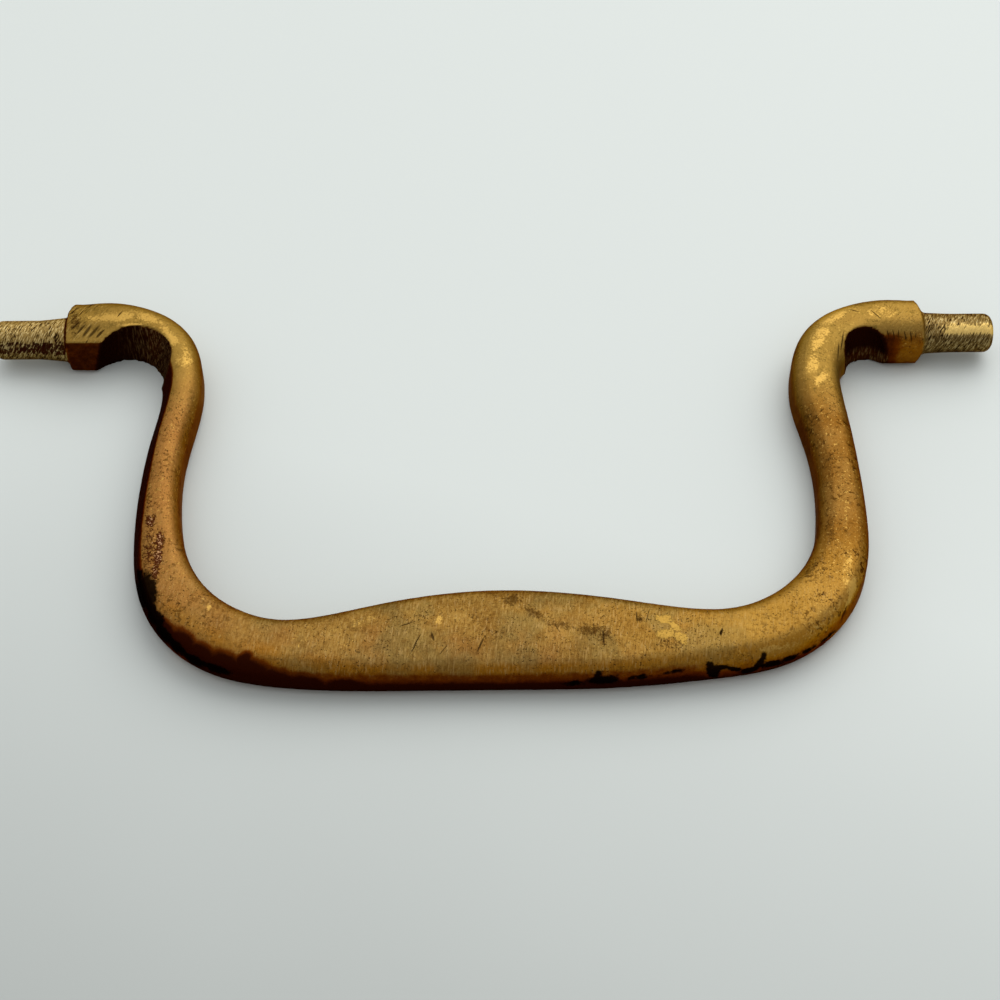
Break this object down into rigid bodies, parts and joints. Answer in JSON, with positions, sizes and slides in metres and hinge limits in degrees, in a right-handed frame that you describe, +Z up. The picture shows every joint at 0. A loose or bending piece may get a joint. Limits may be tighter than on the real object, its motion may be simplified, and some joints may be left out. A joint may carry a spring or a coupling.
{
  "type": "drawer pull bail",
  "caption": "Cast brass bail for a drawer pull: a grip with a swollen middle, arms that curl outwards to thick barrels, a filed notch in each bend and a short pin on each end.",
  "frame": {"origin": "middle of the footprint, on the plane that the bail lies on", "axes": "+X along the two end pins towards the right one, -Y towards the grip, +Z up from the table"},
  "size_m": [0.109, 0.0485, 0.0058],
  "materials": {
    "aged_brass": "cast brass, hand filed at the ends, with a worn golden-brown patina"
  },
  "bodies": {
    "root": {"bail": "aged_brass"}
  },
  "joints": []
}
